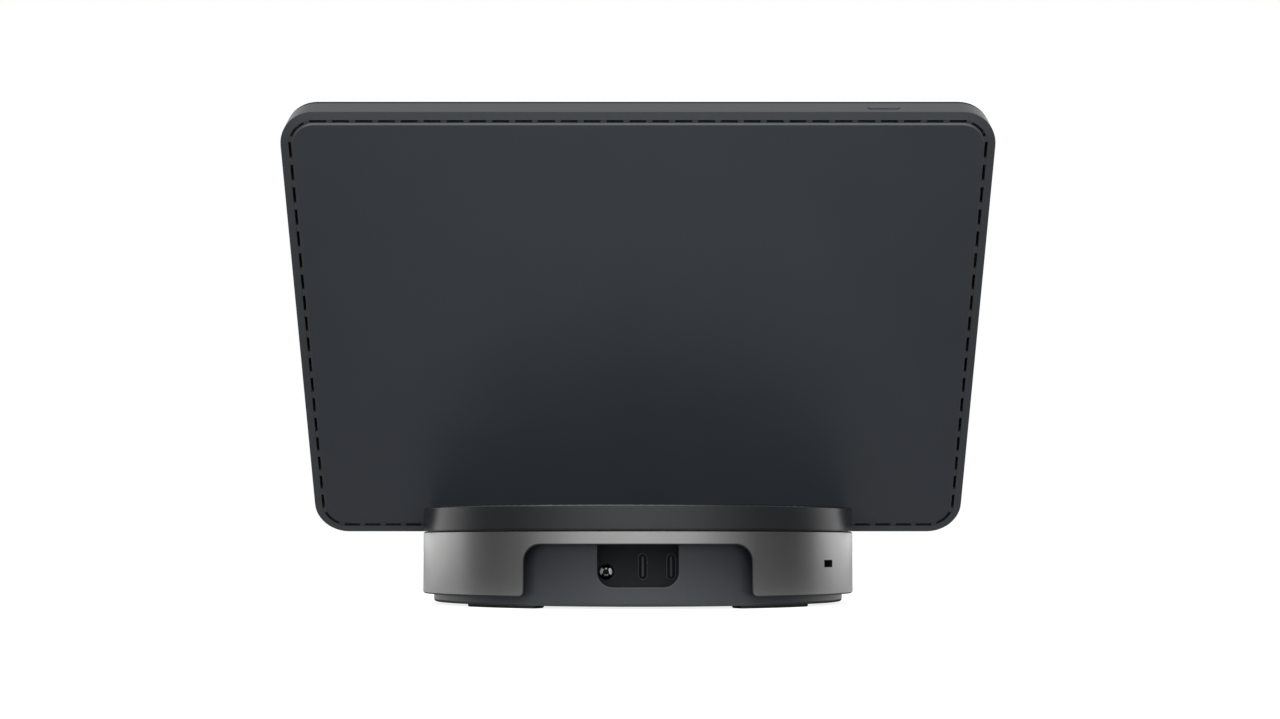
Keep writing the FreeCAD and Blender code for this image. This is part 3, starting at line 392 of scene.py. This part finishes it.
# ---------------------------------------------------------------- sockets
# Two upright sockets, each a stadium shell of drawn steel, blackened, round a black tongue. Gold
# contacts lie in a row on both faces of the tongue, set in from its tip.
def socket_finish(name, node):
    """Blackened drawn steel outside, and a nylon tongue with gold contacts in the middle."""
    low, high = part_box(node)
    finish = Finish(name)
    tongue = abs(finish.x - (low.x + high.x) / 2).step(0.50 * MM, 0.42 * MM)
    row = abs(finish.z - (low.z + high.z) / 2).step(3.1 * MM, 3.0 * MM)
    pads = (finish.z * (2 * math.pi / (0.5 * MM))).wave().step(-0.1, 0.2)
    pads = pads * tongue * row * finish.y.step(high.y - 2.4 * MM, high.y - 2.6 * MM)
    draw = finish.noise(0.05 * MM, 2.0, 0.6, (1, 12, 1))
    # Painted highlight: the shell's front lip is painted lighter.
    rim_painted_highlight = finish.y.step(high.y - 0.25 * MM, high.y - 0.1 * MM) * (1 - tongue)
    steel = finish.between(draw, (0.010, 0.011, 0.013), (0.022, 0.024, 0.027))
    steel = finish.between(rim_painted_highlight, steel, (0.040, 0.042, 0.047))
    inside = finish.between(tongue, steel, (0.010, 0.010, 0.011))
    finish.feed(
        Base_Color=finish.between(pads, inside, (0.10, 0.075, 0.04)),
        Metallic=(1 - tongue) + pads, Roughness=draw * 0.12 + tongue * 0.15 + 0.30,
    ).relief(draw * 0.2 + pads, 0.01 * MM)
    paint(finish, node)


socket_finish("socket_steel_centre", "usb_port_centre")
socket_finish("socket_steel_side", "usb_port_side")


# ---------------------------------------------------------------- clamp screw and its insert
# A pan-head screw with a cross recess is turned from steel and blackened. It holds a plug's clamp, and
# goes into a knurled brass insert moulded into the bay's boss.
screw_low, screw_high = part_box("clamp_screw")
screw_x, screw_z = (screw_low.x + screw_high.x) / 2, (screw_low.z + screw_high.z) / 2
head_radius, head_height = (screw_high.x - screw_low.x) / 2, 1.7 * MM
shank_radius = 1.2 * MM
# (radius, depth behind the crown) from the crown's middle to the shank's tip
turned = ((0.0, 0.0), (0.28, 0.01), (0.55, 0.06), (0.78, 0.18), (0.92, 0.36), (0.99, 0.60), (1.0, 0.80))
profile = [(r * head_radius, d * head_height) for r, d in turned] + [(head_radius * 0.97, head_height)]
profile += [(shank_radius, head_height), (shank_radius, 7.2 * MM), (0.7 * MM, 7.6 * MM), (0.0, 7.6 * MM)]
turning = bmesh.new()
chain = [turning.verts.new((screw_x + r, screw_high.y - d, screw_z)) for r, d in profile]
edges = [turning.edges.new(pair) for pair in zip(chain, chain[1:])]
bmesh.ops.spin(
    turning, geom=chain + edges, cent=(screw_x, 0, screw_z), axis=(0, 1, 0), angle=2 * math.pi,
    steps=48, use_merge=True,
)
bmesh.ops.remove_doubles(turning, verts=turning.verts, dist=1e-6)
bmesh.ops.recalc_face_normals(turning, faces=turning.faces)
screw_data = bpy.data.meshes.new("bay_screw")
turning.to_mesh(screw_data)
turning.free()
bay_screw = bpy.data.objects.new("bay_screw", screw_data)
bpy.context.scene.collection.objects.link(bay_screw)

# The recess is punched with a cross whose arms narrow towards their root.
punch = bmesh.new()
for turned_by in (0, math.pi / 2):
    arm = bmesh.ops.create_cube(punch, size=1.0)["verts"]
    bmesh.ops.scale(punch, vec=(3.0 * MM, 2.4 * MM, 0.62 * MM), verts=arm)
    tips = [v for v in arm if v.co.y < 0]
    bmesh.ops.scale(punch, vec=(0.55, 1, 0.6), verts=tips)
    turned_to = Matrix.Rotation(turned_by + math.pi / 4, 3, "Y")
    bmesh.ops.rotate(punch, cent=(0, 0, 0), matrix=turned_to, verts=arm)
bmesh.ops.translate(punch, vec=(screw_x, screw_high.y, screw_z), verts=punch.verts)
punch_data = bpy.data.meshes.new("punch")
punch.to_mesh(punch_data)
punch.free()
punch_tool = bpy.data.objects.new("punch", punch_data)
bpy.context.scene.collection.objects.link(punch_tool)
cut = bay_screw.modifiers.new("recess", "BOOLEAN")
cut.object, cut.solver, cut.use_self = punch_tool, "EXACT", True
bpy.context.view_layer.update()
punched = bpy.data.meshes.new_from_object(bay_screw.evaluated_get(bpy.context.evaluated_depsgraph_get()))
bay_screw.modifiers.clear()
bay_screw.data = punched
bpy.data.objects.remove(punch_tool)
for face in punched.polygons:
    face.use_smooth = True
punched.set_sharp_from_angle(angle=math.radians(38))

blackened = Finish("screw_blackened")
scoured = blackened.noise(0.06 * MM, 3.0, 0.6, (1, 6, 1))
worn = blackened.noise(0.5 * MM, 3.0, 0.6).step(0.35, 0.60)
# Painted highlights: bright flanks left and right of the recess and small marks above and below it, broken up
# a little by wear.
beside, above = blackened.x - screw_x, blackened.z - screw_z
reach = (beside * beside + above * above).root() / head_radius
sideways = abs(beside) - abs(above - 0.15 * head_radius)
flank_painted_highlight = sideways.step(0.04 * head_radius, 0.20 * head_radius)
flank_painted_highlight = flank_painted_highlight * reach.step(0.38, 0.48) * reach.step(0.92, 0.80)
nick_painted_highlight = sideways.step(-0.08 * head_radius, -0.24 * head_radius)
nick_painted_highlight = nick_painted_highlight * reach.step(0.30, 0.36) * reach.step(0.60, 0.50)
painted_highlight_and_wear = (flank_painted_highlight + nick_painted_highlight * 0.45) * (worn * 0.3 + 0.7)
blackened.feed(
    Base_Color=blackened.between(painted_highlight_and_wear, (0.010, 0.010, 0.011), (0.50, 0.50, 0.50)),
    Metallic=1 - painted_highlight_and_wear * 0.6, Roughness=scoured * 0.12 + painted_highlight_and_wear * 0.2 + 0.22,
).relief(scoured, 0.004 * MM)
punched.materials.clear()
punched.materials.append(blackened.material)
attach(bay_screw, "base")
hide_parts("clamp_screw")

brass = Finish("insert_brass", Metallic=1.0)
knurl_pitch = 2 * math.pi / (0.6 * MM)
knurl = ((brass.x + brass.y) * knurl_pitch).wave() + ((brass.x - brass.y) * knurl_pitch).wave()
tarnish = brass.noise(1.1 * MM, 4.0, 0.6)
brass.feed(
    Base_Color=brass.between(tarnish, (0.45, 0.30, 0.10), (0.78, 0.58, 0.26)), Roughness=tarnish * 0.2 + 0.22
).relief(knurl, 0.05 * MM)
paint(brass, "clamp_insert")


# ---------------------------------------------------------------- ring
# A turned aluminium ring is slipped over the chassis. It is bead blasted over faint lathe lines and
# anodised grey, and its top edge is cut bright. Its inside and the walls of its openings carry painted shade.
ring = Finish("ring_anodised", Metallic=1.0)
blast = ring.noise(0.14 * MM, 2.0, 0.7)
lathe = ring.noise(0.09 * MM, 1.0, 0.5, (90, 90, 1))
ring_tone = ring.noise(35 * MM, 2.0)
ring_radius = (ring.x * ring.x + ring.y * ring.y).root()
bright_cut = ring.facing((0, 0, 1)).step(0.25, 0.5) * ring.z.step(20 * MM, 22 * MM)
ring_faces = ring.axes(ring.node("ShaderNodeTexCoord", {}, {}, "Normal"))
outward = (ring_faces[0] * ring.x + ring_faces[1] * ring.y) / ring_radius
# Painted shade: the ring's inside and the walls of its openings are painted near black.
outside_else_painted_shade = outward.step(0.80, 0.94).or_more(bright_cut)
anodised = ring.between(ring_tone * 0.8 + blast * 0.2, (0.345, 0.350, 0.344), (0.380, 0.385, 0.379))
ring_skin = ring.between(bright_cut, anodised, (0.40, 0.40, 0.395))
ring_gloss = (1 - bright_cut) * (blast * 0.03 + lathe * 0.03 + 0.05) + bright_cut * 0.05
ring.feed(
    Base_Color=ring.between(outside_else_painted_shade, (0.05, 0.05, 0.05), ring_skin),
    Roughness=ring_gloss + (1 - outside_else_painted_shade) * 0.3 + 0.15,
).relief(blast * 0.7 + lathe * 0.3, 0.0006 * MM)
paint(ring, "base_ring")


# ---------------------------------------------------------------- swivel bearing
# A pressed steel plate hangs from the deck and carries an acetal bush. The hollow post turns in it,
# clamped by a nut over a wave spring, with a friction washer that gives the turn its drag.
def pressed_steel(name, dark, light, line_size, stretch, roughness=0.25):
    """Zinc-plated or turned steel with drawn lines and a few darker stains."""
    finish = Finish(name, Metallic=1.0)
    line = finish.noise(line_size, 2.0, 0.6, stretch)
    stain = finish.noise(6 * MM, 4.0, 0.6)
    finish.feed(
        Base_Color=finish.between(line * 0.5 + stain * 0.5, dark, light),
        Roughness=line * 0.18 + stain * 0.12 + roughness - 0.1,
    )
    return finish.relief(line, 0.006 * MM)


plate_steel = pressed_steel("pressed_plate", (0.28, 0.28, 0.29), (0.50, 0.50, 0.50), 0.12 * MM, (14, 1, 1))
paint(plate_steel, "bearing_plate", "display_bracket")
turned_steel = pressed_steel("turned_steel", (0.40, 0.40, 0.41), (0.60, 0.60, 0.60), 0.07 * MM, (30, 30, 1))
paint(turned_steel, "swivel_post", "retaining_nut")
spring = pressed_steel("spring_steel", (0.30, 0.25, 0.17), (0.52, 0.48, 0.42), 0.09 * MM, (1, 1, 12), 0.3)
paint(spring, "wave_washer")

acetal = Finish("acetal_white", Roughness=0.42, Subsurface_Weight=0.05, Subsurface_Scale=0.002)
flow = acetal.noise(2.5 * MM, 3.0, 0.5, (1, 1, 4))
tool_line = acetal.noise(0.12 * MM, 1.0, 0.5, (20, 20, 1))
acetal.feed(Base_Color=acetal.between(flow, (0.66, 0.64, 0.58), (0.82, 0.81, 0.77)))
acetal.relief(tool_line, 0.006 * MM)
paint(acetal, "swivel_bush", "friction_washer")

fixings = pressed_steel("zinc_screw", (0.34, 0.35, 0.37), (0.62, 0.62, 0.60), 0.10 * MM, (1, 1, 1), 0.24)
paint(fixings, "bearing_screws", "case_screws", "post_screws", "bracket_screws", "board_screws")


# ---------------------------------------------------------------- harness
# Two short leads run from the port board up the hollow post to the main board. Each is a bundle in
# braided polyester sleeving, ending in a small nylon plug.
sleeve = Finish("harness_sleeve", Sheen_Weight=0.25, Roughness=0.7)
braid_pitch = 2 * math.pi / (0.45 * MM)
over = ((sleeve.x + sleeve.y + sleeve.z) * braid_pitch).wave()
under = ((sleeve.x + sleeve.y - sleeve.z) * braid_pitch).wave()
yarn = (over * under).step(-0.6, 0.8)
sleeve.feed(Base_Color=sleeve.between(yarn, (0.008, 0.008, 0.009), (0.035, 0.035, 0.038)))
sleeve.relief(yarn, 0.06 * MM)
paint(sleeve, "lower_cable", "upper_cable")


# ---------------------------------------------------------------- deck
# The deck closes the ring from inside. It is a black moulding with a fine turned texture on its top,
# so that finger marks don't show, and it is screwed down from below.
deck = moulded("deck_plastic", (0.008, 0.009, 0.010), (0.014, 0.015, 0.017), 0.44)
deck_radius = (deck.x * deck.x + deck.y * deck.y).root()
groove = (deck_radius * (2 * math.pi / (0.6 * MM))).wave()
deck_top = deck.facing((0, 0, 1)).step(0.9, 0.98)
deck_grain = deck.noise(0.2 * MM, 2.0, 0.6)
deck.relief(groove * deck_top * 0.7 + deck_grain * 0.3, 0.02 * MM)
paint(deck, "deck_plate")


# ---------------------------------------------------------------- feet
# Four curved pads of black silicone rubber, moulded with a fine pebble, are stuck in recesses under the
# chassis. Table dust shows on the tread.
rubber = Finish("foot_rubber_pebble", Specular_IOR_Level=0.35)
pebble = rubber.cells(0.35 * MM)
dust = rubber.noise(3 * MM, 4.0, 0.7)
tread_dust = rubber.z.step(0.5 * MM, 0.0) * dust.step(0.45, 0.7)
rubber.feed(
    Base_Color=rubber.between(tread_dust * 0.5 + pebble * 0.15, (0.012, 0.012, 0.013), (0.09, 0.085, 0.08)),
    Roughness=pebble * 0.15 + 0.68,
).relief(pebble, 0.02 * MM)
paint(rubber, "foot_rear_right", "foot_rear_left", "foot_front_left", "foot_front_right")


# ---------------------------------------------------------------- neck
# The neck turns on the post with the display. It is a smooth black moulding with a soft top edge, and
# a skirt under it shades the seam over the ring. The floor is snapped in from below.
neck = moulded("neck_plastic", (0.0085, 0.009, 0.010), (0.0125, 0.0133, 0.0145), 0.25, 0.18 * MM, 0.003 * MM)
rim_polish = neck.z.step(34.0 * MM, 34.5 * MM)
neck.feed(Roughness=neck.gloss - rim_polish * 0.05)
paint(neck, "neck_cover", "neck_floor")


# ---------------------------------------------------------------- glass
# One pane of black-printed cover glass covers the whole front. A switched-off screen shows as a
# slightly bluer field inside the printed border, and fingers have left faint smears.
lean = math.radians(32.3)
up = Vector((0, math.sin(lean), math.cos(lean)))
back = Vector((0, math.cos(lean), -math.sin(lean)))
panel_low, panel_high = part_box("lcd_panel")
panel_middle = (panel_low + panel_high) / 2
active_width, active_height = 216.96 * MM, 135.6 * MM
pane = Finish("cover_glass")
pane_x, pane_up = pane.x, pane.along(up) - panel_middle.dot(up)
field = abs(pane_x).step(active_width / 2 + 0.1 * MM, active_width / 2 - 0.1 * MM)
field = field * abs(pane_up).step(active_height / 2 + 0.1 * MM, active_height / 2 - 0.1 * MM)
smear = pane.noise(14 * MM, 4.0, 0.6, (1, 1, 2.5)).step(0.42, 0.78)
subpixel = (pane_x * (2 * math.pi / (0.17 * MM))).wave() * 0.5 + 0.5
screen_mix = subpixel * 0.25 + smear * 0.2
screen_tone = pane.between(screen_mix, (0.0062, 0.0070, 0.0088), (0.0105, 0.0118, 0.0145))
pane.feed(
    Base_Color=pane.between(field, (0.0016, 0.0016, 0.0018), screen_tone),
    Roughness=smear * 0.05 + 0.03,
)
paint(pane, "touch_glass")

foam = Finish("tape_foam", Roughness=0.9)
pore = foam.cells(0.18 * MM).step(0.5, 0.1)
foam.feed(Base_Color=foam.between(pore, (0.022, 0.022, 0.023), (0.006, 0.006, 0.006)))
foam.relief(pore, -0.05 * MM)
paint(foam, "glass_tape")


# ---------------------------------------------------------------- screen
# The liquid crystal cell is a dark sandwich with a fine grid of pixels, and behind it lies a white
# light panel whose back carries printed dots.
cell = Finish("screen_cell", Roughness=0.12, Specular_IOR_Level=0.6)
pixel_across = (cell.x * (2 * math.pi / (0.17 * MM))).wave()
pixel_down = (cell.along(up) * (2 * math.pi / (0.17 * MM))).wave()
grid = (pixel_across * pixel_down).step(-0.3, 0.6)
cell.feed(Base_Color=cell.between(grid, (0.006, 0.006, 0.008), (0.022, 0.026, 0.034)))
cell.relief(grid, 0.004 * MM)
paint(cell, "lcd_panel")

diffuser = Finish("light_panel_white", Roughness=0.55)
printed = diffuser.cells(1.1 * MM, "F1", (1, 1, 1), 0.15).step(0.34, 0.28)
diffuser.feed(Base_Color=diffuser.between(printed, (0.74, 0.75, 0.76), (0.86, 0.87, 0.88)))
diffuser.relief(printed, 0.01 * MM)
paint(diffuser, "backlight")


# ---------------------------------------------------------------- mid frame
# A thin magnesium casting stiffens the display and carries everything behind the screen. It is acid
# washed, with flow lines from the die and a sandy skin.
magnesium = Finish("magnesium_cast", Metallic=0.85)
flow_line = magnesium.noise(9 * MM, 4.0, 0.6, (1, 1, 3))
sand = magnesium.noise(0.3 * MM, 3.0, 0.7)
magnesium.feed(
    Base_Color=magnesium.between(flow_line, (0.26, 0.265, 0.27), (0.46, 0.465, 0.46)),
    Roughness=sand * 0.2 + 0.36,
).relief(sand, 0.02 * MM)
paint(magnesium, "mid_frame")


# ---------------------------------------------------------------- boards, shield and spreader
# The main board is screwed to the mid frame. A tin can shields its processor, and a copper sheet
# spreads the heat into the cover. Small boards carry the microphones and the button's switch.
main_circuit = circuit("main_board_laminate")
paint(main_circuit, "main_board", "microphone_board", "button_board")

tin = pressed_steel("shield_tin", (0.42, 0.42, 0.41), (0.66, 0.66, 0.63), 0.4 * MM, (1, 1, 1), 0.3)
paint(tin, "processor_shield", "button_switch")

copper = Finish("spreader_copper", Metallic=1.0)
drawn = copper.noise(0.10 * MM, 2.0, 0.6, (25, 1, 1))
oxide = copper.noise(8 * MM, 4.0, 0.6).step(0.45, 0.75)
copper.feed(
    Base_Color=copper.between(oxide, copper.between(drawn, (0.62, 0.30, 0.17), (0.80, 0.46, 0.30)),
                              (0.30, 0.13, 0.07)),
    Roughness=drawn * 0.15 + oxide * 0.15 + 0.22,
).relief(drawn, 0.005 * MM)
paint(copper, "heat_spreader")


# ---------------------------------------------------------------- speakers and antennas
# Each speaker is a black moulded box with a pressed paper cone. The antennas are copper traces on
# amber film, folded over small carriers.
paper = moulded("speaker_moulding", (0.010, 0.010, 0.010), (0.022, 0.021, 0.020), 0.62)
fibre = paper.noise(0.25 * MM, 4.0, 0.7, (3, 1, 1))
paper.relief(fibre, 0.03 * MM)
paint(paper, "speaker_left", "speaker_right")

film = Finish("antenna_film", Specular_IOR_Level=0.7)
strip = (film.x * (2 * math.pi / (3.2 * MM))).wave().step(0.25, 0.45)
film_speck = film.noise(0.4 * MM, 3.0)
film.feed(
    Base_Color=film.between(strip, (0.34, 0.14, 0.02), (0.66, 0.36, 0.12)),
    Metallic=strip * 0.6, Roughness=film_speck * 0.15 + 0.22,
).relief(strip + film_speck * 0.2, 0.03 * MM)
paint(film, "antenna_left", "antenna_right")


# ---------------------------------------------------------------- bezel, shell and button
# The bezel and the rear shell are mouldings that snap together round the display. The bezel is painted
# dead black to match the glass, and the graphite shell holds a rocker and a ring of vents.
bezel_black, bezel_worn = (0.0035, 0.0037, 0.0040), (0.0060, 0.0063, 0.0070)
bezel = moulded("bezel_plastic", bezel_black, bezel_worn, 0.55, Specular_IOR_Level=0.05)
paint(bezel, "front_bezel")

shell = moulded("shell_plastic", (0.018, 0.020, 0.023), (0.025, 0.0275, 0.031), 0.40, Specular_IOR_Level=0.45)
# Painted light: the shell's faces towards the back are painted lighter.
back_faces_painted_light = shell.facing(back).step(0.75, 0.95)
shell.feed(Base_Color=shell.between(back_faces_painted_light, shell.tone, (0.029, 0.032, 0.037)))
paint(shell, "rear_shell", "top_button")


# ---------------------------------------------------------------- back cover
# A satin cover is glued into the back of the shell, inside the vents. Its face has a fine spark grain
# and its bevelled edge is smoother, where the tool was polished, and painted lighter as a painted highlight.
cover = moulded("cover_plastic", (0.019, 0.0225, 0.0275), (0.026, 0.030, 0.036), 0.50, Specular_IOR_Level=0.35)
# Painted highlight: the bevel is painted lighter.
bevel_painted_highlight = cover.facing(back).step(0.97, 0.86)
cover.feed(
    Base_Color=cover.between(bevel_painted_highlight, cover.tone, (0.042, 0.045, 0.050)),
    Roughness=cover.gloss - bevel_painted_highlight * 0.12,
)
paint(cover, "back_cover")
